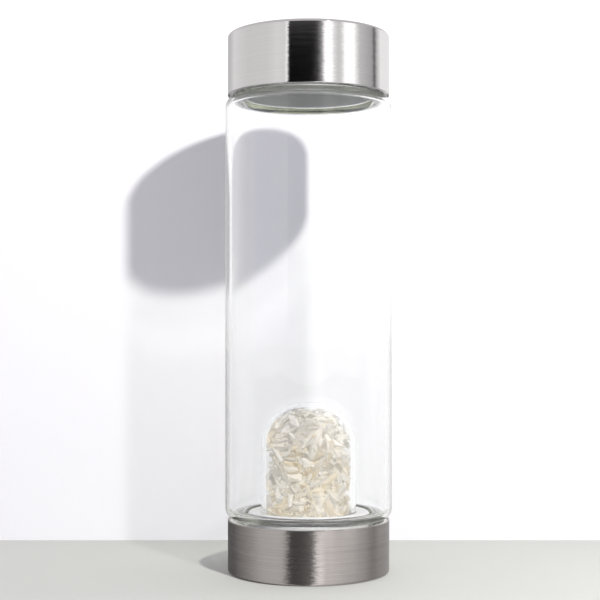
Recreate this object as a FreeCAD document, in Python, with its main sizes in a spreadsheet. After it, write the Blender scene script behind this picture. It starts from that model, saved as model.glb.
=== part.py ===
"""Glass water bottle with a screwed steel lid, a screwed steel base and a gem pod.

The bottle stands on its base: the origin is the centre of the base's underside and +Z is up.
Every piece is turned about Z, except the quartz chips inside the pod. All sizes are in
millimetres and come from the Sizes sheet.
"""
import FreeCAD, Part
import math
import os
import random
import re

import Sketcher

SIZES = {
    # steel cups
    "cup_radius": 34.0,
    "cup_wall": 0.8,
    "cup_round": 1.2,
    "cup_inner_round": 0.6,
    "cup_lip_round": 0.3,
    "base_top": 22.2,
    "lid_bottom": 199.9,
    "lid_top": 225.4,
    "glue_gap": 0.1,
    # glass tube
    "body_radius": 35.0,
    "body_wall": 2.5,
    "neck_radius": 30.1,
    "bore_radius": 27.3,
    "low_shoulder": 22.6,
    "high_shoulder": 199.5,
    "shoulder_wall": 2.6,
    "shoulder_round": 4.2,
    "shoulder_inner_round": 2.4,
    "neck_round": 0.6,
    "mouth_round": 1.8,
    "rim_round": 1.1,
    # screw threads, two of them on the glass and one in each liner
    "thread_pitch": 4.23,
    "thread_turns": 1.6,
    "thread_depth": 1.2,
    "thread_crest": 0.9,
    "thread_foot": 2.5,
    "thread_bite": 0.3,
    "thread_to_rim": 3.2,
    # threaded plastic liners
    "liner_wall": 1.4,
    "liner_floor": 2.1,
    "liner_recess": 0.4,
    "liner_chamfer": 1.0,
    # silicone rings that seal the two rims
    "gasket_height": 2.4,
    "gasket_inner": 26.0,
    "gasket_outer": 31.4,
    "gasket_round": 0.4,
    # steel plate on the water side of the lid
    "plate_radius": 25.6,
    "plate_height": 0.8,
    "plate_dish": 1.0,
    "plate_edge": 3.0,
    # seat that carries the pod
    "seat_radius": 25.3,
    "seat_wall": 1.2,
    "seat_top": 22.6,
    "seat_collar_low": 12.0,
    "seat_clearance": 0.4,
    "seat_round": 0.6,
    # glass gem pod
    "pod_radius": 20.0,
    "pod_wall": 1.8,
    "pod_low": 12.4,
    "pod_top": 71.1,
    "pod_round": 17.7,
    "pod_lip_round": 0.6,
    # white silicone ring round the foot of the pod
    "ring_radius": 25.5,
    "ring_height": 2.8,
    "ring_round": 0.9,
    # silicone stopper under the pod
    "plug_top": 22.4,
    "plug_radius": 17.6,
    "plug_rib": 0.6,
    "plug_rib_height": 1.6,
    "plug_rib_first": 14.6,
    "plug_rib_second": 19.0,
    "plug_flange": 1.8,
    "plug_tab_radius": 5.0,
    "plug_tab_low": 5.2,
    "plug_round": 0.5,
    # quartz chips
    "chip_length": 8.2,
    "chip_width": 4.6,
    "chip_height": 3.6,
    "chip_room": 4.45,
}
CHIP_COUNT = 46
CHIP_SEED = 11
DROPS_PER_CHIP = 260
CHIP_TAPER = (0.35, 0.7)        # size of a block's far end, as a share of its near end
CHIP_LEAN = (0.05, 0.3)         # how far the far end leans aside, as a share of half the block
CHIP_SHARE = (0.82, 1.0)        # a block's size, as a share of the largest chip's
CHIP_CROSSING = (35, 65)        # degrees between a chip's two blocks
SAME_PLACE = 1e-4               # millimetres within which an edge lies on a corner
ROUGH_PLACE, ROUGH_RADIUS = 20, 10      # a circle of corners that an outline's sizes then pull into place
PARTS_FOLDER = "parts"

Vector = FreeCAD.Vector

document = FreeCAD.newDocument("GlassWaterBottle")
sheet = document.addObject("Spreadsheet::Sheet", "Sizes")
for row, (alias, value) in enumerate(SIZES.items(), start=1):
    sheet.set(f"A{row}", alias.replace("_", " "))
    sheet.set(f"B{row}", str(value))
    sheet.setAlias(f"B{row}", alias)
document.recompute()


def sized(formula):
    """A formula written with bare size names, as an expression on the sheet."""
    return re.sub(r"[a-z][a-z_]*", lambda word: "Sizes." + word.group(), formula)


def origin_plane(body, role):
    return next(feature for feature in body.Origin.OriginFeatures if feature.Role == role)


def add_profile(body, name, corners):
    """A closed outline of straight sides in the body's XZ plane.

    Each corner is a pair of formulas, its radius and its height. "0" lies on an axis.
    """
    sketch = body.newObject("Sketcher::SketchObject", name)
    sketch.AttachmentSupport = [(origin_plane(body, "XZ_Plane"), "")]
    sketch.MapMode = "FlatFace"
    count = len(corners)
    rough = []
    for step in range(count):
        angle = math.tau * step / count
        across = ROUGH_PLACE + ROUGH_RADIUS * math.cos(angle)
        rough.append(Vector(across, ROUGH_PLACE + ROUGH_RADIUS * math.sin(angle)))
    for step in range(count):
        sketch.addGeometry(Part.LineSegment(rough[step], rough[(step + 1) % count]))
    joins = [Sketcher.Constraint("Coincident", step, 2, (step + 1) % count, 1) for step in range(count)]
    sketch.addConstraint(joins)
    for side, (radius, height) in enumerate(corners):
        for kind, formula, axis in (("DistanceX", radius, -2), ("DistanceY", height, -1)):
            if formula == "0":
                sketch.addConstraint(Sketcher.Constraint("PointOnObject", side, 1, axis))
                continue
            place = sketch.addConstraint(Sketcher.Constraint(kind, -1, 1, side, 1, ROUGH_PLACE + side))
            sketch.setExpression(f"Constraints[{place}]", sized(formula))
    return sketch


def corner_edges(shape, corners):
    """Names of the circular edges that pass through the given (radius, height) corners."""
    names = []
    for number, edge in enumerate(shape.Edges, start=1):
        if not isinstance(edge.Curve, Part.Circle):
            continue
        for radius, height in corners:
            same_radius = abs(edge.Curve.Radius - radius) < SAME_PLACE
            same_height = abs(edge.Curve.Center.z - height) < SAME_PLACE
            if same_radius and same_height:
                names.append(f"Edge{number}")
    return names


def turned(label, corners):
    """A body turned about Z. A corner's third entry, if any, is the radius that rounds it."""
    body = document.addObject("PartDesign::Body", label)
    body.Label = label
    sketch = add_profile(body, label + "_outline", [corner[:2] for corner in corners])
    turn = body.newObject("PartDesign::Revolution", label + "_turn")
    turn.Profile = sketch
    turn.ReferenceAxis = (sketch, ["V_Axis"])
    turn.Angle = 360
    document.recompute()
    for rounding in sorted({corner[2] for corner in corners if len(corner) > 2}):
        places = [
            (sketch.getPoint(side, 1).x, sketch.getPoint(side, 1).y)
            for side, corner in enumerate(corners)
            if corner[2:] == (rounding,)
        ]
        sharp = body.Tip
        edges = corner_edges(sharp.Shape, places)
        if len(edges) != len(places):
            raise SystemExit(f"{label}: {len(edges)} of {len(places)} corners found for {rounding}")
        fillet = body.newObject("PartDesign::Fillet", f"{label}_{rounding}")
        fillet.Base = (sharp, edges)
        fillet.setExpression("Radius", sized(rounding))
        document.recompute()
    return body


def add_thread(body, name, wall_radius, first_height, inward):
    """A right-hand ridge wound round a wall, from its first turn's middle height upwards."""
    into_wall, out_of_wall = ("+", "-") if inward else ("-", "+")
    root = f"{wall_radius} {into_wall} thread_bite"
    crest = f"{wall_radius} {out_of_wall} thread_depth"
    tooth = add_profile(
        body,
        name + "_tooth",
        [
            (root, f"{first_height} - thread_foot / 2"),
            (crest, f"{first_height} - thread_crest / 2"),
            (crest, f"{first_height} + thread_crest / 2"),
            (root, f"{first_height} + thread_foot / 2"),
        ],
    )
    helix = body.newObject("PartDesign::AdditiveHelix", name)
    helix.Profile = tooth
    helix.ReferenceAxis = (tooth, ["V_Axis"])
    helix.Mode = "pitch-turns-angle"
    helix.setExpression("Pitch", sized("thread_pitch"))
    helix.setExpression("Turns", sized("thread_turns"))
    document.recompute()


# Heights and radii that several pieces share, as formulas on the sheet.
SHELL_BORE = "cup_radius - cup_wall"
LINER_RADIUS = "cup_radius - cup_wall - glue_gap"
LINER_BORE = "cup_radius - cup_wall - glue_gap - liner_wall"
BASE_LINER_LOW = "cup_wall + glue_gap"
BASE_LINER_FLOOR = "cup_wall + glue_gap + liner_floor"
LOW_RIM = "cup_wall + glue_gap + liner_floor + gasket_height"
LID_LINER_TOP = "lid_top - cup_wall - glue_gap"
LID_LINER_ROOF = "lid_top - cup_wall - glue_gap - liner_floor"
HIGH_RIM = "lid_top - cup_wall - glue_gap - liner_floor - gasket_height"
LOW_THREAD = f"{LOW_RIM} + thread_to_rim"
HIGH_THREAD = f"{HIGH_RIM} - thread_to_rim - thread_foot / 2 - thread_turns * thread_pitch"


def make_base_shell():
    """Drawn steel cup, open at the top."""
    return turned(
        "base_shell",
        [
            ("0", "0"),
            ("cup_radius", "0", "cup_round"),
            ("cup_radius", "base_top", "cup_lip_round"),
            (SHELL_BORE, "base_top"),
            (SHELL_BORE, "cup_wall", "cup_inner_round"),
            ("0", "cup_wall"),
        ],
    )


def make_base_liner():
    """Plastic cup glued in the steel one, with the thread that the lower neck screws into."""
    body = turned(
        "base_liner",
        [
            ("0", BASE_LINER_LOW),
            (LINER_RADIUS, BASE_LINER_LOW, "liner_chamfer"),
            (LINER_RADIUS, "base_top - liner_recess", "cup_lip_round"),
            (LINER_BORE, "base_top - liner_recess", "cup_lip_round"),
            (LINER_BORE, BASE_LINER_FLOOR),
            ("0", BASE_LINER_FLOOR),
        ],
    )
    add_thread(body, "base_thread", LINER_BORE, f"{LOW_THREAD} + thread_pitch / 2", inward=True)
    return body


def make_gasket(label, low, high):
    """Flat silicone ring, rounded a little at its edges."""
    return turned(
        label,
        [
            ("gasket_inner", low, "gasket_round"),
            ("gasket_outer", low, "gasket_round"),
            ("gasket_outer", high, "gasket_round"),
            ("gasket_inner", high, "gasket_round"),
        ],
    )


def make_pod_seat():
    """Plastic ring on the liner's floor: an outer wall, a top and a collar for the pod's foot."""
    collar_bore = "pod_radius + seat_clearance"
    collar_radius = "pod_radius + seat_clearance + seat_wall"
    return turned(
        "pod_seat",
        [
            ("seat_radius - seat_wall", BASE_LINER_FLOOR),
            ("seat_radius", BASE_LINER_FLOOR),
            ("seat_radius", "seat_top", "seat_round"),
            (collar_bore, "seat_top", "seat_round"),
            (collar_bore, "seat_collar_low"),
            (collar_radius, "seat_collar_low"),
            (collar_radius, "seat_top - seat_wall"),
            ("seat_radius - seat_wall", "seat_top - seat_wall"),
        ],
    )


def make_pod_dome():
    """Glass dome of the gem pod, open below."""
    return turned(
        "pod_dome",
        [
            ("pod_radius - pod_wall", "pod_low", "pod_lip_round"),
            ("pod_radius", "pod_low", "pod_lip_round"),
            ("pod_radius", "pod_top", "pod_round"),
            ("0", "pod_top"),
            ("0", "pod_top - pod_wall"),
            ("pod_radius - pod_wall", "pod_top - pod_wall", "pod_round - pod_wall"),
        ],
    )


def make_pod_ring():
    """White silicone ring stretched round the pod, which rests on the seat."""
    return turned(
        "pod_ring",
        [
            ("pod_radius", "seat_top"),
            ("ring_radius", "seat_top", "gasket_round"),
            ("ring_radius", "seat_top + ring_height", "ring_round"),
            ("pod_radius", "seat_top + ring_height"),
        ],
    )


def make_pod_plug():
    """Silicone stopper with two sealing ribs, a flange under the glass and a tab to pull."""
    rib = "plug_radius + plug_rib"
    corners = [
        ("0", "plug_tab_low"),
        ("plug_tab_radius", "plug_tab_low", "plug_round"),
        ("plug_tab_radius", "pod_low - plug_flange"),
        ("pod_radius", "pod_low - plug_flange", "plug_round"),
        ("pod_radius", "pod_low"),
        ("plug_radius", "pod_low"),
    ]
    for first in ("plug_rib_first", "plug_rib_second"):
        corners += [
            ("plug_radius", first),
            (rib, f"{first} + plug_rib_height / 3"),
            (rib, f"{first} + plug_rib_height * 2 / 3"),
            ("plug_radius", f"{first} + plug_rib_height"),
        ]
    corners += [("plug_radius", "plug_top", "plug_round"), ("0", "plug_top")]
    return turned("pod_plug", corners)


def make_glass_body():
    """Glass tube with a shoulder, a threaded neck and a fire-rounded rim at each end."""
    inner = "body_radius - body_wall"
    body = turned(
        "glass_body",
        [
            ("bore_radius", LOW_RIM, "rim_round"),
            ("neck_radius", LOW_RIM, "rim_round"),
            ("neck_radius", "low_shoulder", "neck_round"),
            ("body_radius", "low_shoulder", "shoulder_round"),
            ("body_radius", "high_shoulder", "shoulder_round"),
            ("neck_radius", "high_shoulder", "neck_round"),
            ("neck_radius", HIGH_RIM, "rim_round"),
            ("bore_radius", HIGH_RIM, "rim_round"),
            ("bore_radius", "high_shoulder - shoulder_wall", "mouth_round"),
            (inner, "high_shoulder - shoulder_wall", "shoulder_inner_round"),
            (inner, "low_shoulder + shoulder_wall", "shoulder_inner_round"),
            ("bore_radius", "low_shoulder + shoulder_wall", "mouth_round"),
        ],
    )
    add_thread(body, "low_neck_thread", "neck_radius", LOW_THREAD, inward=False)
    add_thread(body, "high_neck_thread", "neck_radius", HIGH_THREAD, inward=False)
    return body


def make_lid_liner():
    """Plastic cap glued in the steel lid, with the thread that grips the upper neck."""
    body = turned(
        "lid_liner",
        [
            ("0", LID_LINER_ROOF),
            (LINER_BORE, LID_LINER_ROOF),
            (LINER_BORE, "lid_bottom + liner_recess", "cup_lip_round"),
            (LINER_RADIUS, "lid_bottom + liner_recess", "cup_lip_round"),
            (LINER_RADIUS, LID_LINER_TOP, "liner_chamfer"),
            ("0", LID_LINER_TOP),
        ],
    )
    add_thread(body, "lid_thread", LINER_BORE, f"{HIGH_THREAD} - thread_pitch / 2", inward=True)
    return body


def make_lid_plate():
    """Steel plate under the liner's roof, dished up slightly inside a flat edge."""
    return turned(
        "lid_plate",
        [
            ("0", f"{LID_LINER_ROOF} - plate_height"),
            ("plate_radius - plate_edge - plate_dish", f"{LID_LINER_ROOF} - plate_height"),
            ("plate_radius - plate_edge", f"{LID_LINER_ROOF} - plate_height - plate_dish"),
            ("plate_radius", f"{LID_LINER_ROOF} - plate_height - plate_dish"),
            ("plate_radius", f"{LID_LINER_ROOF} - plate_dish"),
            ("plate_radius - plate_edge", f"{LID_LINER_ROOF} - plate_dish"),
            ("plate_radius - plate_edge - plate_dish", LID_LINER_ROOF),
            ("0", LID_LINER_ROOF),
        ],
    )


def make_lid_shell():
    """Drawn steel lid, open below."""
    return turned(
        "lid_shell",
        [
            ("0", "lid_top - cup_wall"),
            (SHELL_BORE, "lid_top - cup_wall", "cup_inner_round"),
            (SHELL_BORE, "lid_bottom"),
            ("cup_radius", "lid_bottom", "cup_lip_round"),
            ("cup_radius", "lid_top", "cup_round"),
            ("0", "lid_top"),
        ],
    )


def add_wedge(name, length, width, height, taper, lean):
    """A tapered block about its own middle: its far end is smaller and leans aside."""
    wedge = document.addObject("Part::Wedge", name)
    spans = {
        "Xmin": f"-chip_width * {width} / 2",
        "Xmax": f"chip_width * {width} / 2",
        "Ymin": f"-chip_length * {length} / 2",
        "Ymax": f"chip_length * {length} / 2",
        "Zmin": f"-chip_height * {height} / 2",
        "Zmax": f"chip_height * {height} / 2",
        "X2min": f"-chip_width * {width} * ({taper} - {lean}) / 2",
        "X2max": f"chip_width * {width} * ({taper} + {lean}) / 2",
        "Z2min": f"-chip_height * {height} * ({taper} + {lean}) / 2",
        "Z2max": f"chip_height * {height} * ({taper} - {lean}) / 2",
    }
    for span, formula in spans.items():
        wedge.setExpression(span, sized(formula))
    return wedge


def random_turn(draw):
    """A rotation of any kind, every one as likely."""
    first, second, third = (draw.random() for _ in range(3))
    return FreeCAD.Rotation(
        math.sqrt(1 - first) * math.sin(math.tau * second),
        math.sqrt(1 - first) * math.cos(math.tau * second),
        math.sqrt(first) * math.sin(math.tau * third),
        math.sqrt(first) * math.cos(math.tau * third),
    )


def make_chip(label, draw, place):
    """A broken splinter of quartz: two tapered blocks crossed on one axis, and what they share."""
    pieces = []
    for side in ("flat", "cross"):
        taper = round(draw.uniform(*CHIP_TAPER), 3)
        lean = round(draw.uniform(*CHIP_LEAN), 3)
        length, width, height = (round(draw.uniform(*CHIP_SHARE), 3) for _ in range(3))
        pieces.append(add_wedge(f"{label}_{side}", length, width, height, taper, lean))
    crossing = FreeCAD.Rotation(Vector(0, 1, 0), draw.uniform(*CHIP_CROSSING))
    pieces[1].Placement = FreeCAD.Placement(Vector(), crossing)
    chip = document.addObject("Part::Common", label)
    chip.Label = label
    chip.Base = pieces[0]
    chip.Tool = pieces[1]
    chip.Placement = FreeCAD.Placement(place, random_turn(draw))
    return chip


def dome_allows(radius, height):
    """Whether a chip's room, centred there, is clear of the inside of the dome."""
    room = sheet.chip_room
    wall = sheet.pod_radius - sheet.pod_wall
    arc = sheet.pod_round - sheet.pod_wall
    spring = sheet.pod_top - sheet.pod_round
    if height <= spring:
        return radius + room <= wall
    past_arc = max(radius - (wall - arc), 0.0)
    return math.hypot(past_arc, height - spring) + room <= arc


def settle_chips(draw):
    """Middles of the chips' rooms, each dropped straight down where it comes to rest lowest."""
    room = sheet.chip_room
    reach = sheet.pod_radius - sheet.pod_wall - room
    settled = []
    while len(settled) < CHIP_COUNT:
        best = None
        for _ in range(DROPS_PER_CHIP):
            radius = reach * math.sqrt(draw.random())
            angle = math.tau * draw.random()
            spot = Vector(radius * math.cos(angle), radius * math.sin(angle), sheet.plug_top + room)
            for other in settled:
                apart = math.hypot(spot.x - other.x, spot.y - other.y)
                if apart < 2 * room:
                    spot.z = max(spot.z, other.z + math.sqrt((2 * room) ** 2 - apart**2))
            if dome_allows(radius, spot.z) and (best is None or spot.z < best.z):
                best = spot
        if best is None:
            raise SystemExit(f"Only {len(settled)} chips fit in the pod")
        settled.append(best)
    return settled


def make_chips():
    draw = random.Random(CHIP_SEED)
    places = settle_chips(draw)
    return [
        make_chip(f"quartz_chip_{number:02d}", draw, place)
        for number, place in enumerate(places, start=1)
    ]


pieces = [
    make_base_shell(),
    make_base_liner(),
    make_gasket("base_gasket", BASE_LINER_FLOOR, LOW_RIM),
    make_pod_seat(),
    make_pod_dome(),
    make_pod_ring(),
    make_pod_plug(),
    make_glass_body(),
    make_gasket("lid_gasket", HIGH_RIM, LID_LINER_ROOF),
    make_lid_liner(),
    make_lid_plate(),
    make_lid_shell(),
    *make_chips(),
]
document.recompute()

for item in document.Objects:
    if {"Invalid", "Error"} & set(item.State):
        raise SystemExit(f"{item.Name} failed: {item.State}")

os.makedirs(PARTS_FOLDER, exist_ok=True)
for piece in pieces:
    shape = piece.Shape
    if shape.isNull() or not shape.isValid() or len(shape.Solids) != 1:
        raise SystemExit(f"{piece.Label} isn't one valid solid")
    shape.exportStep(f"{PARTS_FOLDER}/{piece.Label}.step")
    print(f"{piece.Label}: {shape.Volume / 1000:.3f} cm3")
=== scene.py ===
"""Glass water bottle: looks, studio and camera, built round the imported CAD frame. Metres."""
import math

import bmesh
import bpy
import numpy as np
from mathutils import Matrix, Vector


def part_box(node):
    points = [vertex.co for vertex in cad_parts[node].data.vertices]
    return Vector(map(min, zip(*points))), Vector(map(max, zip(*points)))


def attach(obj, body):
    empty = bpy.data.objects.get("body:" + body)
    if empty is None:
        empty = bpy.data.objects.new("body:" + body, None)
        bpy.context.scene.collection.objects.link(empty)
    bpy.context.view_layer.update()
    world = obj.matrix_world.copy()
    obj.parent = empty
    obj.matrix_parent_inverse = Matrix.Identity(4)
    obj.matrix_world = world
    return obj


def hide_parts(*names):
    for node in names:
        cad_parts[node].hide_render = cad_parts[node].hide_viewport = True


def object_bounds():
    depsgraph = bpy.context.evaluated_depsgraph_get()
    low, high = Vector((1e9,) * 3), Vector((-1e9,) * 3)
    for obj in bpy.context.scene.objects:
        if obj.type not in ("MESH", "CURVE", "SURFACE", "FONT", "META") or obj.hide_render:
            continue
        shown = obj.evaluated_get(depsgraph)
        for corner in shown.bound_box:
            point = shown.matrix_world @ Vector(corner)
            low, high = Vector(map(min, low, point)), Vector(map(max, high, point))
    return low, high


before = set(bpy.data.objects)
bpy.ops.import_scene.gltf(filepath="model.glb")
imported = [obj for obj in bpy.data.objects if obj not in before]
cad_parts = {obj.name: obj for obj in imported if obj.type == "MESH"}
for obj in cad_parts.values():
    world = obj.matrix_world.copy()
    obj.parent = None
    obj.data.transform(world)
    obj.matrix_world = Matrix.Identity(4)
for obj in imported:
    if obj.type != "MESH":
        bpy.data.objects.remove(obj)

cad_low, cad_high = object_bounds()
MM = 0.001
SEGMENTS = 256          # sides of every turned piece
ARC_STEPS = 14          # sides of each rounded corner
SHARP_ANGLE = math.radians(32)


# ---------------------------------------------------------------- sizes
# The boxes come from the frame. The other sizes repeat the CAD model's own.
glass_low, glass_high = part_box("glass_body")
base_low, base_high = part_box("base_shell")
lid_low, lid_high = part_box("lid_shell")
dome_low, dome_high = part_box("pod_dome")
ring_low, ring_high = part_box("pod_ring")
_, plug_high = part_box("pod_plug")

BODY_RADIUS = min(glass_high.x, glass_high.y)
CUP_RADIUS = 34.0 * MM
CUP_WALL = 0.8 * MM
CUP_END_ROUND = 1.2 * MM
CUP_INNER_ROUND = 0.6 * MM
CUP_LIP_ROUND = 0.3 * MM
NECK_RADIUS = 30.1 * MM
BORE_RADIUS = 27.3 * MM
BODY_WALL = 2.5 * MM
SHOULDER_WALL = 2.6 * MM
LOW_SHOULDER = 22.6 * MM
HIGH_SHOULDER = 199.5 * MM
SHOULDER_ROUND = 4.2 * MM
SHOULDER_INNER_ROUND = 2.4 * MM
NECK_ROUND = 0.6 * MM
MOUTH_ROUND = 1.8 * MM
RIM_ROUND = 1.1 * MM
POD_RADIUS = 20.0 * MM
POD_WALL = 1.8 * MM
POD_ROUND = 17.7 * MM
POD_FOOT_ROUND = 0.6 * MM
RING_RADIUS = 25.5 * MM
RING_BORE = POD_RADIUS + 0.02 * MM
RING_FOOT_ROUND = 0.4 * MM
RING_TOP_ROUND = 0.9 * MM
RING_BORE_ROUND = 0.5 * MM
THREAD_PITCH = 4.23 * MM
THREAD_TURNS = 1.6
THREAD_DEPTH = 1.2 * MM
THREAD_CREST = 0.9 * MM
THREAD_FOOT = 2.5 * MM
THREAD_TO_RIM = 3.2 * MM
THREAD_ROW = 0.3 * MM     # height of the mesh rows that shape the thread
THREAD_RUN_OUT = 8        # a thread's end fades out over one turn divided by this

SAME_RADIUS = 1e-6        # radii closer than this are the same
ON_AXIS = 1e-7            # a radius below this is on the axis


# ---------------------------------------------------------------- mesh helpers
def rounded(corners):
    """Outline points of a closed polygon whose corners are (radius, height[, rounding])."""
    points = []
    count = len(corners)
    for place, corner in enumerate(corners):
        here = Vector(corner[:2])
        if len(corner) < 3:
            points.append(here)
            continue
        before = (Vector(corners[place - 1][:2]) - here).normalized()
        after = (Vector(corners[(place + 1) % count][:2]) - here).normalized()
        half = before.angle(after) / 2
        centre = here + (before + after).normalized() * corner[2] / math.sin(half)
        start = here + before * corner[2] / math.tan(half) - centre
        end = here + after * corner[2] / math.tan(half) - centre
        sweep = start.angle_signed(end)
        for step in range(ARC_STEPS + 1):
            turn = Matrix.Rotation(-sweep * step / ARC_STEPS, 2)
            points.append(centre + turn @ start)
    return points


def with_rows(points, low, high, radius, spacing):
    """Extra outline points on the upright side at this radius, so that it can take a thread."""
    made = []
    for place, here in enumerate(points):
        made.append(here)
        there = points[(place + 1) % len(points)]
        upright = max(abs(here.x - radius), abs(there.x - radius)) < SAME_RADIUS
        if not upright or min(here.y, there.y) > high or max(here.y, there.y) < low:
            continue
        rows = int(abs(there.y - here.y) / spacing)
        made += [here.lerp(there, row / rows) for row in range(1, rows)]
    return made


def finished(name, bm, body, material):
    """A piece made from a bmesh, riding on a body, smooth except across sharp edges."""
    bmesh.ops.recalc_face_normals(bm, faces=bm.faces)
    mesh = bpy.data.meshes.new(name)
    bm.to_mesh(mesh)
    bm.free()
    mesh.shade_smooth()
    mesh.set_sharp_from_angle(angle=SHARP_ANGLE)
    mesh.materials.append(material)
    piece = bpy.data.objects.new(name, mesh)
    bpy.context.scene.collection.objects.link(piece)
    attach(piece, body)
    return piece


def lathe(points, bulge=None):
    """A bmesh turned about Z from outline points. bulge(angle, radius, height) adds to a radius."""
    bm = bmesh.new()
    rings = []
    for point in points:
        if point.x < ON_AXIS:
            rings.append([bm.verts.new((0, 0, point.y))])
            continue
        ring = []
        for side in range(SEGMENTS):
            angle = math.tau * side / SEGMENTS
            radius = point.x + (bulge(angle, point.x, point.y) if bulge else 0)
            across = (radius * math.cos(angle), radius * math.sin(angle))
            ring.append(bm.verts.new((*across, point.y)))
        rings.append(ring)
    for place, ring in enumerate(rings):
        other = rings[(place + 1) % len(rings)]
        if len(ring) == 1 and len(other) == 1:
            continue
        for side in range(SEGMENTS):
            after = (side + 1) % SEGMENTS
            if len(ring) == 1:
                bm.faces.new((ring[0], other[after], other[side]))
            elif len(other) == 1:
                bm.faces.new((ring[side], ring[after], other[0]))
            else:
                bm.faces.new((ring[side], ring[after], other[after], other[side]))
    return bm


def smooth_step(value):
    """0 below 0, 1 above 1, and an S-shaped rise between."""
    value = min(max(value, 0.0), 1.0)
    return value * value * (3 - 2 * value)


def thread_bulge(first_height):
    """Height of a screw ridge over the neck at an angle and height, as a function."""

    def bulge(angle, radius, height):
        if abs(radius - NECK_RADIUS) > SAME_RADIUS:
            return 0.0
        turns_up = (height - first_height) / THREAD_PITCH - angle / math.tau
        away = abs(turns_up - round(turns_up)) * THREAD_PITCH
        along = angle / math.tau + round(turns_up)
        start = smooth_step(along * THREAD_RUN_OUT + 0.5)
        end = smooth_step((THREAD_TURNS - along) * THREAD_RUN_OUT + 0.5)
        slope = (THREAD_FOOT / 2 - away) / (THREAD_FOOT / 2 - THREAD_CREST / 2)
        return THREAD_DEPTH * (start * end) * smooth_step(slope)

    return bulge


# ---------------------------------------------------------------- material helpers
def new_material(name):
    """A material, its nodes and its links."""
    material = bpy.data.materials.new(name)
    material.use_nodes = True
    return material, material.node_tree.nodes, material.node_tree.links


def principled(nodes, **values):
    """The main shader with values on its own sockets. Scattering depths are in metres."""
    shader = nodes["Principled BSDF"]
    shader.inputs["Subsurface Scale"].default_value = 1.0
    for socket, value in values.items():
        shader.inputs[socket.replace("_", " ")].default_value = value
    return shader


def turned_coordinates(nodes, links, place):
    """The same place, with its distance from the axis added to its height.

    Fine lines across the height then run round a turned piece's ends as they do round its side.
    """
    flat = nodes.new("ShaderNodeVectorMath")
    flat.operation = "MULTIPLY"
    flat.inputs[1].default_value = (1.0, 1.0, 0.0)
    links.new(place, flat.inputs[0])
    across = nodes.new("ShaderNodeVectorMath")
    across.operation = "LENGTH"
    links.new(flat.outputs["Vector"], across.inputs[0])
    split = nodes.new("ShaderNodeSeparateXYZ")
    links.new(place, split.inputs["Vector"])
    total = nodes.new("ShaderNodeMath")
    links.new(split.outputs["Z"], total.inputs[0])
    links.new(across.outputs["Value"], total.inputs[1])
    joined = nodes.new("ShaderNodeCombineXYZ")
    links.new(split.outputs["X"], joined.inputs["X"])
    links.new(split.outputs["Y"], joined.inputs["Y"])
    links.new(total.outputs["Value"], joined.inputs["Z"])
    return joined.outputs["Vector"]


def add_noise(
    nodes, links, scale, stretch=(1, 1, 1), detail=4.0, roughness=0.55, turned=False
):
    """Noise in the piece's own coordinates, stretched by a factor along each axis."""
    where = nodes.new("ShaderNodeTexCoord").outputs["Object"]
    if turned:
        where = turned_coordinates(nodes, links, where)
    mapping = nodes.new("ShaderNodeMapping")
    mapping.inputs["Scale"].default_value = stretch
    noise = nodes.new("ShaderNodeTexNoise")
    noise.inputs["Scale"].default_value = scale
    noise.inputs["Detail"].default_value = detail
    noise.inputs["Roughness"].default_value = roughness
    links.new(where, mapping.inputs["Vector"])
    links.new(mapping.outputs["Vector"], noise.inputs["Vector"])
    return noise.outputs["Fac"]


def add_ramp(nodes, links, source, stops):
    """A colour ramp over a value. stops are (position, colour), or (position, (grey,))."""
    ramp = nodes.new("ShaderNodeValToRGB")
    elements = ramp.color_ramp.elements
    while len(elements) < len(stops):
        elements.new(1.0)
    for element, (position, colour) in zip(elements, stops):
        element.position = position
        element.color = (*colour, 1.0) if len(colour) == 3 else (colour[0],) * 3 + (1.0,)
    links.new(source, ramp.inputs["Fac"])
    return ramp.outputs["Color"]


def add_bump(nodes, links, source, shader, distance):
    """Bumps on the shader, from a value. distance is their full height, in metres."""
    bump = nodes.new("ShaderNodeBump")
    bump.inputs["Distance"].default_value = distance
    links.new(source, bump.inputs["Height"])
    links.new(bump.outputs["Normal"], shader.inputs["Normal"])
    return bump


def mirrored_only(nodes, links):
    """1 for a ray mirrored before it has ever gone through glass, 0 for any other."""
    kind = nodes.new("ShaderNodeLightPath")
    only = nodes.new("ShaderNodeMath")
    only.operation = "SUBTRACT"
    only.use_clamp = True
    links.new(kind.outputs["Is Glossy Ray"], only.inputs[0])
    links.new(kind.outputs["Transmission Depth"], only.inputs[1])
    return only.outputs["Value"]


def choose(nodes, links, factor, shader, other):
    """One shader, or the other where the factor is 1."""
    mix = nodes.new("ShaderNodeMixShader")
    links.new(factor, mix.inputs["Fac"])
    links.new(shader, mix.inputs[1])
    links.new(other, mix.inputs[2])
    return mix.outputs["Shader"]


# ---------------------------------------------------------------- materials
# Noises are (scale, stretch). A large last stretch gives level lines, and a small one upright waves.
STEEL_LINES = (60.0, (0.3, 0.3, 75.0))
STEEL_STROKES = (30.0, (1.0, 1.0, 30.0))
STEEL_SHORT_STROKES = (420.0, (1.0, 1.0, 12.0))
STEEL_ANISOTROPY = 0.85
ACROSS_THE_LINES = 0.25   # rotation of the highlight, in turns from the tangent
TUBE_WAVES = (55.0, (1.0, 1.0, 0.12))
GLASS_IOR = 1.47
QUARTZ_IOR = 1.54
QUARTZ_VEIL_SCALE = 420.0
QUARTZ_RIPPLES = (900.0, (1.0, 0.4, 0.7))
QUARTZ_RIPPLE_DEPTH = 0.00006
QUARTZ_BY_CHIP = 0.35     # how far the colour changes from chip to chip
QUARTZ_BY_VEIL = 0.6      # and with the veils inside each
MOULDED_CLOUD_SCALE = 120.0
MOULDED_DARKER = 0.94
MOULDED_GRAIN_SCALE = 2500.0
MOULDED_GRAIN_DEPTH = 0.00002
SILICONE_DEPTH = {"Subsurface_Weight": 0.2, "Subsurface_Radius": (0.002, 0.002, 0.002)}


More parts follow.
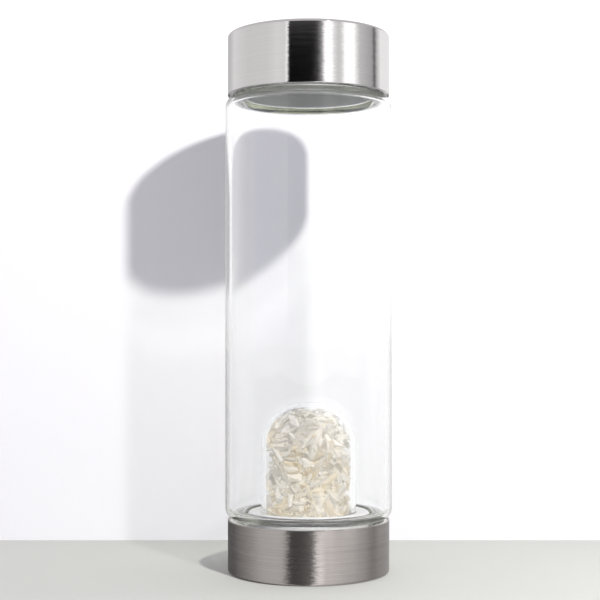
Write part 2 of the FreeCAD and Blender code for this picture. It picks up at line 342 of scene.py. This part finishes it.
def brushed_steel(name, dark, light, roughness, groove, wander):
    """Steel brushed round the cup: fine level lines, which spread what they mirror up and down.

    Each short stroke also leans a little to one side, by up to wander, which frays the edges of
    what the steel mirrors.
    """
    material, nodes, links = new_material(name)
    shader = principled(
        nodes, Metallic=1.0, Anisotropic=STEEL_ANISOTROPY, Anisotropic_Rotation=ACROSS_THE_LINES
    )
    lines = add_noise(nodes, links, *STEEL_LINES, detail=8.0, roughness=0.7, turned=True)
    colour = add_ramp(nodes, links, lines, [(0.3, dark), (0.7, light)])
    links.new(colour, shader.inputs["Base Color"])
    strokes = add_noise(nodes, links, *STEEL_STROKES, turned=True)
    spread = [(0.3, (roughness * 0.8,)), (0.7, (roughness * 1.2,))]
    links.new(add_ramp(nodes, links, strokes, spread), shader.inputs["Roughness"])
    bump = add_bump(nodes, links, lines, shader, groove)
    tangent = nodes.new("ShaderNodeTangent")
    tangent.direction_type = "RADIAL"
    tangent.axis = "Z"
    links.new(tangent.outputs["Tangent"], shader.inputs["Tangent"])
    short = add_noise(nodes, links, *STEEL_SHORT_STROKES, detail=3.0, turned=True)
    lean = nodes.new("ShaderNodeMapRange")
    lean.inputs["To Min"].default_value = -wander
    lean.inputs["To Max"].default_value = wander
    links.new(short, lean.inputs["Value"])
    aside = nodes.new("ShaderNodeVectorMath")
    aside.operation = "SCALE"
    links.new(tangent.outputs["Tangent"], aside.inputs[0])
    links.new(lean.outputs["Result"], aside.inputs["Scale"])
    leaning = nodes.new("ShaderNodeVectorMath")
    leaning.operation = "ADD"
    links.new(bump.outputs["Normal"], leaning.inputs[0])
    links.new(aside.outputs["Vector"], leaning.inputs[1])
    unit = nodes.new("ShaderNodeVectorMath")
    unit.operation = "NORMALIZE"
    links.new(leaning.outputs["Vector"], unit.inputs[0])
    links.new(unit.outputs["Vector"], shader.inputs["Normal"])
    return material


def let_light_through(nodes, links, shader, shade):
    """Lamp light crosses the glass straight, a little dimmed, because refraction would stop it."""
    clear = nodes.new("ShaderNodeBsdfTransparent")
    if isinstance(shade, tuple):
        clear.inputs["Color"].default_value = (*shade, 1.0)
    else:
        links.new(shade, clear.inputs["Color"])
    kind = nodes.new("ShaderNodeLightPath")
    sort = kind.outputs["Is Shadow Ray"]
    mix = choose(nodes, links, sort, shader.outputs["BSDF"], clear.outputs["BSDF"])
    links.new(mix, nodes["Material Output"].inputs["Surface"])


def clear_glass(name, tint, depth_tint, density, wave, shade=None, bands=None):
    """Clear glass: thick parts take on a tint, and the surface has a drawn tube's faint waves.

    shade is the lamp light that the wall lets through. bands are (height, shade) pairs, where it
    changes with the height.
    """
    material, nodes, links = new_material(name)
    shader = principled(
        nodes, Base_Color=(*tint, 1.0), Roughness=0.0, IOR=GLASS_IOR, Transmission_Weight=1.0
    )
    waves = add_noise(nodes, links, *TUBE_WAVES, detail=2.0)
    add_bump(nodes, links, waves, shader, wave)
    if bands:
        where = nodes.new("ShaderNodeTexCoord")
        split = nodes.new("ShaderNodeSeparateXYZ")
        links.new(where.outputs["Object"], split.inputs["Vector"])
        share = nodes.new("ShaderNodeMath")
        share.operation = "DIVIDE"
        share.inputs[1].default_value = cad_high.z
        links.new(split.outputs["Z"], share.inputs[0])
        stops = [(height / cad_high.z, (level,)) for height, level in bands]
        shade = add_ramp(nodes, links, share.outputs["Value"], stops)
    let_light_through(nodes, links, shader, shade)
    volume = nodes.new("ShaderNodeVolumeAbsorption")
    volume.inputs["Color"].default_value = (*depth_tint, 1.0)
    volume.inputs["Density"].default_value = density
    links.new(volume.outputs["Volume"], nodes["Material Output"].inputs["Volume"])
    return material


def quartz(name, pale, deep, transmission, roughness):
    """Broken quartz: a colour for each chip, cloudy veils inside and a rippled break surface."""
    material, nodes, links = new_material(name)
    shader = principled(nodes, IOR=QUARTZ_IOR, Transmission_Weight=transmission)
    island = nodes.new("ShaderNodeNewGeometry")
    thing = nodes.new("ShaderNodeObjectInfo")
    veil = add_noise(nodes, links, QUARTZ_VEIL_SCALE, detail=5.0, roughness=0.65)
    by_chip = nodes.new("ShaderNodeMath")
    by_chip.operation = "ADD"
    links.new(island.outputs["Random Per Island"], by_chip.inputs[0])
    links.new(thing.outputs["Random"], by_chip.inputs[1])
    by_veil = nodes.new("ShaderNodeMath")
    by_veil.operation = "MULTIPLY"
    by_veil.inputs[1].default_value = QUARTZ_BY_VEIL
    links.new(veil, by_veil.inputs[0])
    blend = nodes.new("ShaderNodeMath")
    blend.operation = "MULTIPLY_ADD"
    blend.inputs[1].default_value = QUARTZ_BY_CHIP
    links.new(by_chip.outputs["Value"], blend.inputs[0])
    links.new(by_veil.outputs["Value"], blend.inputs[2])
    colour = add_ramp(nodes, links, blend.outputs["Value"], [(0.25, pale), (0.85, deep)])
    links.new(colour, shader.inputs["Base Color"])
    rough = add_ramp(nodes, links, veil, [(0.35, (roughness * 0.4,)), (0.7, (roughness,))])
    links.new(rough, shader.inputs["Roughness"])
    ripples = add_noise(nodes, links, *QUARTZ_RIPPLES, detail=2.0)
    add_bump(nodes, links, ripples, shader, QUARTZ_RIPPLE_DEPTH)
    return material


def moulded(name, colour, roughness, **values):
    """Moulded plastic or silicone: a very fine grain, and a faint change of shade."""
    material, nodes, links = new_material(name)
    shader = principled(nodes, **values)
    cloud = add_noise(nodes, links, MOULDED_CLOUD_SCALE, detail=3.0)
    darker = tuple(channel * MOULDED_DARKER for channel in colour)
    shades = add_ramp(nodes, links, cloud, [(0.3, darker), (0.7, colour)])
    links.new(shades, shader.inputs["Base Color"])
    grain = add_noise(nodes, links, MOULDED_GRAIN_SCALE, detail=2.0)
    rough = add_ramp(nodes, links, grain, [(0.3, (roughness * 0.85,)), (0.7, (roughness * 1.1,))])
    links.new(rough, shader.inputs["Roughness"])
    add_bump(nodes, links, grain, shader, MOULDED_GRAIN_DEPTH)
    return material


LID_STEEL = brushed_steel(
    "lid_steel", dark=(0.69, 0.665, 0.67), light=(0.75, 0.725, 0.73),
    roughness=0.1, groove=0.00000015, wander=0.05,
)
# The base's steel is coloured darker and browner than the lid's. That is painted shade and a painted
# warm reflection, standing in for the shaded table the base mirrors. Its coarser brushing, set by
# the roughness, is real.
BASE_STEEL_PAINTED_TABLE_SHADE = brushed_steel(
    "base_steel", dark=(0.49, 0.45, 0.43), light=(0.61, 0.565, 0.545),
    roughness=0.22, groove=0.000001, wander=0.1,
)
PLATE_STEEL = brushed_steel(
    "plate_steel", dark=(0.7, 0.7, 0.7), light=(0.8, 0.8, 0.8),
    roughness=0.3, groove=0.000001, wander=0.05,
)
BOTTLE_GLASS = clear_glass(
    "bottle_glass", tint=(0.985, 0.99, 0.99), depth_tint=(0.80, 0.85, 0.62), density=8.0,
    wave=0.00003,
    bands=[
        (0.0, 0.92), (0.172, 0.94), (0.177, 1.0), (0.184, 1.0), (0.189, 0.95), (0.2254, 0.95),
    ],
)
POD_GLASS = clear_glass(
    "pod_glass", tint=(0.99, 0.99, 0.99), depth_tint=(0.8, 0.9, 0.8), density=8.0,
    wave=0.00002, shade=(0.97, 0.97, 0.97),
)
CLEAR_QUARTZ = quartz(
    "clear_quartz", pale=(1.0, 0.985, 0.955), deep=(0.99, 0.965, 0.91),
    transmission=0.7, roughness=0.03,
)
MILKY_QUARTZ = quartz(
    "milky_quartz", pale=(0.99, 0.975, 0.94), deep=(0.98, 0.95, 0.89),
    transmission=0.4, roughness=0.15,
)
WARM_QUARTZ = quartz(
    "warm_quartz", pale=(0.99, 0.935, 0.83), deep=(0.975, 0.895, 0.74),
    transmission=0.6, roughness=0.06,
)
LINER_PLASTIC = moulded("liner_plastic", (0.95, 0.95, 0.93), roughness=0.42)
SEAL_SILICONE = moulded("seal_silicone", (0.92, 0.92, 0.9), roughness=0.5, **SILICONE_DEPTH)
WHITE_SILICONE = moulded("white_silicone", (0.95, 0.95, 0.94), roughness=0.45, **SILICONE_DEPTH)


# ---------------------------------------------------------------- turned pieces
def make_steel_cup(name, low, high, open_up, material):
    """A drawn cup with a rounded closed end, and a lip rolled very slightly at its open end."""
    closed, opened = (low, high) if open_up else (high, low)
    inward = CUP_WALL if open_up else -CUP_WALL
    corners = [
        (0.0, closed),
        (CUP_RADIUS, closed, CUP_END_ROUND),
        (CUP_RADIUS, opened, CUP_LIP_ROUND),
        (CUP_RADIUS - CUP_WALL, opened, CUP_LIP_ROUND),
        (CUP_RADIUS - CUP_WALL, closed + inward, CUP_INNER_ROUND),
        (0.0, closed + inward),
    ]
    piece = finished(name, lathe(rounded(corners)), name.split("_")[0], material)
    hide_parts(name.rsplit("_", 1)[0])


def make_glass_body():
    """The bottle: a tube with a shoulder and a threaded neck at each end."""
    low_rim, high_rim = glass_low.z, glass_high.z
    inner = BODY_RADIUS - BODY_WALL
    corners = [
        (BORE_RADIUS, low_rim, RIM_ROUND),
        (NECK_RADIUS, low_rim, RIM_ROUND),
        (NECK_RADIUS, LOW_SHOULDER, NECK_ROUND),
        (BODY_RADIUS, LOW_SHOULDER, SHOULDER_ROUND),
        (BODY_RADIUS, HIGH_SHOULDER, SHOULDER_ROUND),
        (NECK_RADIUS, HIGH_SHOULDER, NECK_ROUND),
        (NECK_RADIUS, high_rim, RIM_ROUND),
        (BORE_RADIUS, high_rim, RIM_ROUND),
        (BORE_RADIUS, HIGH_SHOULDER - SHOULDER_WALL, MOUTH_ROUND),
        (inner, HIGH_SHOULDER - SHOULDER_WALL, SHOULDER_INNER_ROUND),
        (inner, LOW_SHOULDER + SHOULDER_WALL, SHOULDER_INNER_ROUND),
        (BORE_RADIUS, LOW_SHOULDER + SHOULDER_WALL, MOUTH_ROUND),
    ]
    points = with_rows(rounded(corners), low_rim, high_rim, NECK_RADIUS, THREAD_ROW)
    low_thread = thread_bulge(low_rim + THREAD_TO_RIM)
    high_first = high_rim - THREAD_TO_RIM - THREAD_FOOT / 2 - THREAD_TURNS * THREAD_PITCH
    high_thread = thread_bulge(high_first)
    middle = (low_rim + high_rim) / 2

    def bulge(angle, radius, height):
        return (low_thread if height < middle else high_thread)(angle, radius, height)

    piece = finished("bottle_glass_body", lathe(points, bulge), "glass", BOTTLE_GLASS)
    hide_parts("glass_body")


def make_pod_dome():
    """The pod's glass, open at its foot."""
    inner = POD_RADIUS - POD_WALL
    top = dome_high.z
    corners = [
        (inner, dome_low.z, POD_FOOT_ROUND),
        (POD_RADIUS, dome_low.z, POD_FOOT_ROUND),
        (POD_RADIUS, top, POD_ROUND),
        (0.0, top),
        (0.0, top - POD_WALL),
        (inner, top - POD_WALL, POD_ROUND - POD_WALL),
    ]
    piece = finished("gem_pod_dome", lathe(rounded(corners)), "pod", POD_GLASS)
    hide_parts("pod_dome")


def make_pod_ring():
    """The white ring round the pod's foot."""
    corners = [
        (RING_BORE, ring_low.z),
        (RING_RADIUS, ring_low.z, RING_FOOT_ROUND),
        (RING_RADIUS, ring_high.z, RING_TOP_ROUND),
        (RING_BORE, ring_high.z, RING_BORE_ROUND),
    ]
    piece = finished("gem_pod_ring", lathe(rounded(corners)), "pod", WHITE_SILICONE)
    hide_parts("pod_ring")


make_steel_cup("base_shell_cup", base_low.z, base_high.z, True, BASE_STEEL_PAINTED_TABLE_SHADE)
make_steel_cup("lid_shell_cup", lid_low.z, lid_high.z, False, LID_STEEL)
make_glass_body()
make_pod_dome()
make_pod_ring()


# ---------------------------------------------------------------- quartz filling
CHIP_SEED = 4
SMALL_CHIPS = 820
SETTLE_STEPS = 50
SETTLE_RATE = 0.3        # share of an overlap that two chips give way by in a step
CHIP_HALF = (1.2, 3.4)   # half lengths, mm
CHIP_GIRTH = (0.8, 1.6)  # girths, mm
CHIP_FLAT = (0.35, 0.9)  # thickness as a share of breadth
CORE = 0.62              # a chip's hard core, as a share of its girth
CAD_CHIP_SPHERES = ((-0.6, 0.85), (0.0, 1.0), (0.6, 0.85))    # (place along it, size)
# A splinter's rings of points: (place along it, fullness, number of points).
SPLINTER_RINGS = ((-1.0, 0.4, 2), (-0.55, 0.95, 4), (0.1, 1.0, 4), (0.6, 0.85, 4), (1.0, 0.3, 2))
SPLINTER_TIP = 0.6       # how far a tip stands past the core, in girths
SPLINTER_TURN = 0.5      # how far a point strays round its ring, in radians
SPLINTER_REACH = (0.7, 1.15)
SPLINTER_STRAY = 0.2     # how far a point strays along the splinter, in half lengths
WARM_AT_FOOT = 0.42      # share of warm chips at the pod's foot
WARM_LOST = 0.4          # and how much of it is gone at the top
MILKY_SHARE = 0.2
TINY = 1e-9              # keeps a division from meeting 0
POD_INSIDE = POD_RADIUS - POD_WALL
POD_SPRING = dome_high.z - POD_ROUND
POD_ARC = POD_ROUND - POD_WALL
WALL_GAP = 0.15 * MM


def inside_push(centres, sizes):
    """How far each sphere has to move to lie inside the pod."""
    push = np.zeros_like(centres)
    across = np.maximum(np.hypot(centres[:, 0], centres[:, 1]), TINY)
    outward = centres[:, :2] / across[:, None]
    low = centres[:, 2] <= POD_SPRING
    past = np.maximum(across + sizes - POD_INSIDE, 0)
    push[low, :2] -= outward[low] * past[low, None]
    over = np.maximum(across - (POD_INSIDE - POD_ARC), 0)
    rise = centres[:, 2] - POD_SPRING
    reach = np.maximum(np.hypot(over, rise), TINY)
    past = np.maximum(reach + sizes - POD_ARC, 0) / reach
    high = ~low
    push[high, :2] -= outward[high] * (over * past)[high, None]
    push[high, 2] -= (rise * past)[high]
    push[:, 2] += np.maximum(plug_high.z + sizes - centres[:, 2], 0)
    return push


def cad_chip_spheres():
    """Three spheres along each CAD chip, which the small chips settle round."""
    centres, sizes = [], []
    for name, node in sorted(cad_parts.items()):
        if not name.startswith("quartz_chip"):
            continue
        points = np.array([vertex.co[:] for vertex in node.data.vertices])
        middle = points.mean(axis=0)
        away = points - middle
        axis = np.linalg.svd(away, full_matrices=False)[2][0]
        half = np.abs(away @ axis).max()
        girth = np.linalg.norm(away - np.outer(away @ axis, axis), axis=1).mean()
        for shift, share in CAD_CHIP_SPHERES:
            centres.append(middle + axis * half * shift)
            sizes.append(girth * share)
    return np.array(centres), np.array(sizes)


def settle(draw, count):
    """Middles, axes, half lengths and girths of small chips that fill up round the CAD chips."""
    half = draw.uniform(*CHIP_HALF, count) * MM
    girth = draw.uniform(*CHIP_GIRTH, count) * MM
    angle = draw.uniform(0, math.tau, count)
    across = POD_INSIDE * np.sqrt(draw.uniform(0, 1, count))
    height = draw.uniform(plug_high.z, dome_high.z - POD_WALL, count)
    middle = np.stack([across * np.cos(angle), across * np.sin(angle), height], axis=1)
    axis = draw.normal(size=(count, 3))
    axis /= np.linalg.norm(axis, axis=1)[:, None]
    fixed, fixed_sizes = cad_chip_spheres()
    owner = np.concatenate([np.tile(np.arange(count), 3), np.full(len(fixed), -1)])
    core = girth * CORE
    sizes = np.concatenate([np.tile(core, 3), fixed_sizes])
    same = owner[:, None] == owner[None, :]
    for _ in range(SETTLE_STEPS):
        reach = axis * half[:, None]
        ends = np.concatenate([middle - reach, middle, middle + reach])
        centres = np.concatenate([ends, fixed])
        apart = centres[:, None, :] - centres[None, :, :]
        distance = np.sqrt((apart**2).sum(axis=2)) + TINY
        bite = np.maximum(sizes[:, None] + sizes[None, :] - distance, 0)
        bite[same] = 0
        push = ((bite / distance)[:, :, None] * apart).sum(axis=1)[: 3 * count]
        push *= SETTLE_RATE
        push += inside_push(ends, np.tile(core, 3))
        first, centre, last = push[:count], push[count : 2 * count], push[2 * count :]
        middle = middle + (first + centre + last) / 2
        swing = (last - first) / (2 * half[:, None])
        axis = axis + swing
        axis /= np.linalg.norm(axis, axis=1)[:, None]
    return middle, axis, half, girth


def kept_inside(spot):
    """The same point, moved just inside the pod's wall if it lies past it."""
    push = inside_push(np.array([spot[:]]), np.array([WALL_GAP]))[0]
    return spot + Vector(push)


def add_splinter(bm, draw, middle, axis, half, girth):
    """A broken splinter: the hull of a few jagged rings along a crooked axis."""
    along = Vector(axis)
    side = along.orthogonal().normalized()
    turn = Matrix.Rotation(draw.uniform(0, math.tau), 3, along)
    side = turn @ side
    other = along.cross(side)
    flat = draw.uniform(*CHIP_FLAT)
    points = []
    for station, fullness, sides in SPLINTER_RINGS:
        start = draw.uniform(0, math.tau)
        for step in range(sides):
            angle = start + math.tau * step / sides + draw.uniform(-SPLINTER_TURN, SPLINTER_TURN)
            reach = girth * fullness * draw.uniform(*SPLINTER_REACH)
            shift = station * (half + girth * SPLINTER_TIP)
            shift += draw.uniform(-SPLINTER_STRAY, SPLINTER_STRAY) * half
            spot = Vector(middle) + along * shift
            spot += side * math.cos(angle) * reach + other * math.sin(angle) * reach * flat
            points.append(bm.verts.new(kept_inside(spot)))
    hull = bmesh.ops.convex_hull(bm, input=points)
    spare = hull["geom_interior"] + hull["geom_unused"]
    spare = {vertex for vertex in spare if isinstance(vertex, bmesh.types.BMVert)}
    bmesh.ops.delete(bm, geom=list(spare), context="VERTS")


def make_small_chips():
    """The small splinters of quartz, warmer towards the pod's foot."""
    draw = np.random.default_rng(CHIP_SEED)
    middles, axes, halves, girths = settle(draw, SMALL_CHIPS)
    low, high = plug_high.z, dome_high.z
    kinds = {"clear": CLEAR_QUARTZ, "milky": MILKY_QUARTZ, "warm": WARM_QUARTZ}
    meshes = {kind: bmesh.new() for kind in kinds}
    for middle, axis, half, girth in zip(middles, axes, halves, girths):
        height = (middle[2] - low) / (high - low)
        warm = WARM_AT_FOOT - WARM_LOST * height
        pick = draw.uniform()
        kind = "warm" if pick < warm else "milky" if pick < warm + MILKY_SHARE else "clear"
        add_splinter(meshes[kind], draw, middle, axis, half, girth)
    for kind, bm in meshes.items():
        piece = finished("quartz_splinters_" + kind, bm, "pod", kinds[kind])
        piece.data.shade_flat()
        piece.visible_shadow = False


make_small_chips()


# ---------------------------------------------------------------- CAD nodes that show
def dress(node, material):
    """Gives a CAD node one material, and returns it."""
    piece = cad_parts[node]
    piece.data.materials.clear()
    piece.data.materials.append(material)
    return piece


for node in ("base_liner", "lid_liner", "pod_seat"):
    dress(node, LINER_PLASTIC)
for node in ("base_gasket", "lid_gasket"):
    dress(node, SEAL_SILICONE)
dress("pod_plug", WHITE_SILICONE)
dress("lid_plate", PLATE_STEEL)
CHIP_TURNS = (CLEAR_QUARTZ, CLEAR_QUARTZ, MILKY_QUARTZ, WARM_QUARTZ)
chip_nodes = sorted(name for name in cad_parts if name.startswith("quartz_chip"))
for number, node in enumerate(chip_nodes):
    chip = dress(node, CHIP_TURNS[number % len(CHIP_TURNS)])
    chip.visible_shadow = False


# ---------------------------------------------------------------- studio
FLOOR_SIZE = 6.0
WALL_BEHIND = 0.077
WALL_HEIGHT = 3.0
FLOOR_SHADES = ((0.565, 0.575, 0.535), (0.585, 0.595, 0.555))
WALL_SHADES = ((0.91, 0.91, 0.92), (0.93, 0.93, 0.94))
AMBIENT = 0.47            # the world's light on what it falls on
THROUGH_GLASS = 1.15      # and as it shows through the glass and beyond the wall
AMBIENT_TINT = (0.96, 0.925, 1.115)
KEY_PLACE = (0.352, -0.638, 0.647)
KEY_RADIUS = 0.022
KEY_POWER = 30.0
GLINT_RADIUS = 0.006
GLINT_POWER = 1.8
LAMP_TINT = (1.0, 0.99, 0.97)
CAMERA_PLACE = (-0.0036, -0.550, 0.1045)
CAMERA_LENS = 78.2
CAMERA_SENSOR = 36.0
CAMERA_SHIFT = 0.0383


def add_card(name, corners, material):
    """A flat four-cornered card that belongs to the studio."""
    mesh = bpy.data.meshes.new(name)
    mesh.from_pydata(corners, [], [(0, 1, 2, 3)])
    mesh.materials.append(material)
    card = bpy.data.objects.new(name, mesh)
    bpy.context.scene.collection.objects.link(card)


def floor_material():
    """Pale grey table, left out of what the bottle mirrors, which is the studio instead."""
    material, nodes, links = new_material("studio_floor")
    shader = principled(nodes, Roughness=0.7, Specular_IOR_Level=0.2)
    cloud = add_noise(nodes, links, 6.0, detail=5.0)
    shades = add_ramp(nodes, links, cloud, list(zip((0.3, 0.7), FLOOR_SHADES)))
    links.new(shades, shader.inputs["Base Color"])
    clear = nodes.new("ShaderNodeBsdfTransparent")
    out = mirrored_only(nodes, links)
    mix = choose(nodes, links, out, shader.outputs["BSDF"], clear.outputs["BSDF"])
    links.new(mix, nodes["Material Output"].inputs["Surface"])
    return material


def wall_material():
    """White from the front, and invisible from behind and in what the bottle mirrors."""
    material, nodes, links = new_material("studio_wall")
    shader = principled(nodes, Roughness=0.9, Specular_IOR_Level=0.1)
    cloud = add_noise(nodes, links, 4.0, detail=4.0)
    shades = add_ramp(nodes, links, cloud, list(zip((0.3, 0.7), WALL_SHADES)))
    links.new(shades, shader.inputs["Base Color"])
    clear = nodes.new("ShaderNodeBsdfTransparent")
    side = nodes.new("ShaderNodeNewGeometry")
    either = nodes.new("ShaderNodeMath")
    either.operation = "MAXIMUM"
    links.new(side.outputs["Backfacing"], either.inputs[0])
    links.new(mirrored_only(nodes, links), either.inputs[1])
    out = either.outputs["Value"]
    mix = choose(nodes, links, out, shader.outputs["BSDF"], clear.outputs["BSDF"])
    links.new(mix, nodes["Material Output"].inputs["Surface"])
    return material


edge, back, top = FLOOR_SIZE / 2, WALL_BEHIND, WALL_HEIGHT
floor_corners = [(-edge, -edge, 0), (edge, -edge, 0), (edge, edge, 0), (-edge, edge, 0)]
wall_corners = [(-edge, back, 0), (edge, back, 0), (edge, back, top), (-edge, back, top)]
add_card("floor", floor_corners, floor_material())
add_card("wall", wall_corners, wall_material())


# What the steel mirrors, by compass angle: 0 is towards -Y, and positive angles are towards +X.
# Above the table it is the lit studio with a dark doorway, and below it the table's darker picture
# of that. High up it is a pale ceiling. Each edge is a pair of steepnesses, the sine of the angle
# above level, between which one gives way to the next.
CEILING = 0.8
TABLE_EDGE = (-0.03, 0.03)
CEILING_EDGE = (0.28, 0.45)
STUDIO_ABOVE = [
    (-180, 0.55), (-150, 0.6), (-130, 0.88), (-95, 0.78), (-60, 0.8), (-45, 0.9), (-32.6, 0.86),
    (-31.4, 1.3), (-29.7, 1.3), (-28.7, 0.0), (2, 0.0), (8, 0.01), (13, 0.06), (18, 0.36),
    (22.5, 1.5), (31, 1.6), (36, 1.0), (42, 0.76), (47, 0.9), (52, 1.5), (65, 1.6), (70, 1.1),
    (76, 0.7), (92, 0.54), (101, 0.46), (104, 0.2), (107.5, 0.2), (111, 0.55), (122, 1.1),
    (150, 1.0), (180, 0.8),
]
STUDIO_BELOW = [
    (-180, 0.12), (-130, 0.12), (-97, 0.32), (-69, 0.6), (-46, 0.64), (-36, 0.6), (-31.5, 0.3),
    (-28, 0.07), (-12, 0.1), (0, 0.17), (6, 0.24), (9.5, 0.9), (12, 1.4), (19, 1.25), (23, 0.78),
    (34, 0.82), (44, 0.8), (56, 0.62), (84, 0.5), (101, 0.3), (116, 0.38), (180, 0.45),
]


def make_world():
    """Even pale light all round, and a studio's lights and darks for what is mirrored."""
    world = bpy.data.worlds.new("studio")
    bpy.context.scene.world = world
    world.use_nodes = True
    nodes, links = world.node_tree.nodes, world.node_tree.links
    nodes.clear()
    where = nodes.new("ShaderNodeTexCoord")
    split = nodes.new("ShaderNodeSeparateXYZ")
    links.new(where.outputs["Generated"], split.inputs["Vector"])
    forward = nodes.new("ShaderNodeMath")
    forward.operation = "MULTIPLY"
    forward.inputs[1].default_value = -1.0
    links.new(split.outputs["Y"], forward.inputs[0])
    compass = nodes.new("ShaderNodeMath")
    compass.operation = "ARCTAN2"
    links.new(split.outputs["X"], compass.inputs[0])
    links.new(forward.outputs["Value"], compass.inputs[1])
    turn = nodes.new("ShaderNodeMath")
    turn.operation = "MULTIPLY_ADD"
    turn.inputs[1].default_value = 1 / math.tau
    turn.inputs[2].default_value = 0.5
    links.new(compass.outputs["Value"], turn.inputs[0])
    layers = []
    for bands in (STUDIO_BELOW, STUDIO_ABOVE):
        shade = nodes.new("ShaderNodeBackground")
        stops = [(angle / 360 + 0.5, (level,)) for angle, level in bands]
        links.new(add_ramp(nodes, links, turn.outputs["Value"], stops), shade.inputs["Color"])
        layers.append(shade.outputs["Background"])
    ceiling = nodes.new("ShaderNodeBackground")
    ceiling.inputs["Strength"].default_value = CEILING
    layers.append(ceiling.outputs["Background"])
    mirrored = layers[0]
    for (low, high), shade in zip((TABLE_EDGE, CEILING_EDGE), layers[1:]):
        above = nodes.new("ShaderNodeMapRange")
        above.inputs["From Min"].default_value = low
        above.inputs["From Max"].default_value = high
        links.new(split.outputs["Z"], above.inputs["Value"])
        mirrored = choose(nodes, links, above.outputs["Result"], mirrored, shade)
    kind = nodes.new("ShaderNodeLightPath")
    plains = []
    for strength in (THROUGH_GLASS, AMBIENT):
        plain = nodes.new("ShaderNodeBackground")
        plain.inputs["Color"].default_value = (*AMBIENT_TINT, 1.0)
        plain.inputs["Strength"].default_value = strength
        plains.append(plain.outputs["Background"])
    even = choose(nodes, links, kind.outputs["Is Diffuse Ray"], *plains)
    output = nodes.new("ShaderNodeOutputWorld")
    seen = choose(nodes, links, mirrored_only(nodes, links), even, mirrored)
    links.new(seen, output.inputs["Surface"])
    world.cycles.sampling_method = "NONE"


def add_lamp(name, place, power, radius, mirrored=False):
    """A small round lamp, which may show in what the bottle mirrors."""
    lamp = bpy.data.lights.new(name, "POINT")
    lamp.energy = power
    lamp.color = LAMP_TINT
    lamp.shadow_soft_size = radius
    holder = bpy.data.objects.new(name, lamp)
    holder.location = place
    # Glass lets lamp light straight through, so a refracted ray that met a lamp would count it
    # twice. Refracted rays count as glossy ones too, so only a weak lamp may be mirrored.
    holder.visible_transmission = False
    holder.visible_glossy = mirrored
    holder.visible_camera = False
    bpy.context.scene.collection.objects.link(holder)


def add_camera():
    """Level, a little under the bottle's middle, and a little to the left of its axis."""
    lens = bpy.data.cameras.new("camera")
    lens.sensor_width = CAMERA_SENSOR
    lens.lens = CAMERA_LENS
    lens.shift_y = CAMERA_SHIFT
    holder = bpy.data.objects.new("camera", lens)
    holder.location = CAMERA_PLACE
    holder.rotation_euler = (math.radians(90), 0, 0)
    bpy.context.scene.collection.objects.link(holder)
    bpy.context.scene.camera = holder


make_world()
add_lamp("key", KEY_PLACE, KEY_POWER, KEY_RADIUS)
add_lamp("glint", KEY_PLACE, GLINT_POWER, GLINT_RADIUS, mirrored=True)
add_camera()
scene = bpy.context.scene
scene.view_settings.view_transform = "Standard"
scene.cycles.max_bounces = 60
scene.cycles.diffuse_bounces = 8
scene.cycles.transmission_bounces = 60
scene.cycles.glossy_bounces = 40
scene.cycles.transparent_max_bounces = 40
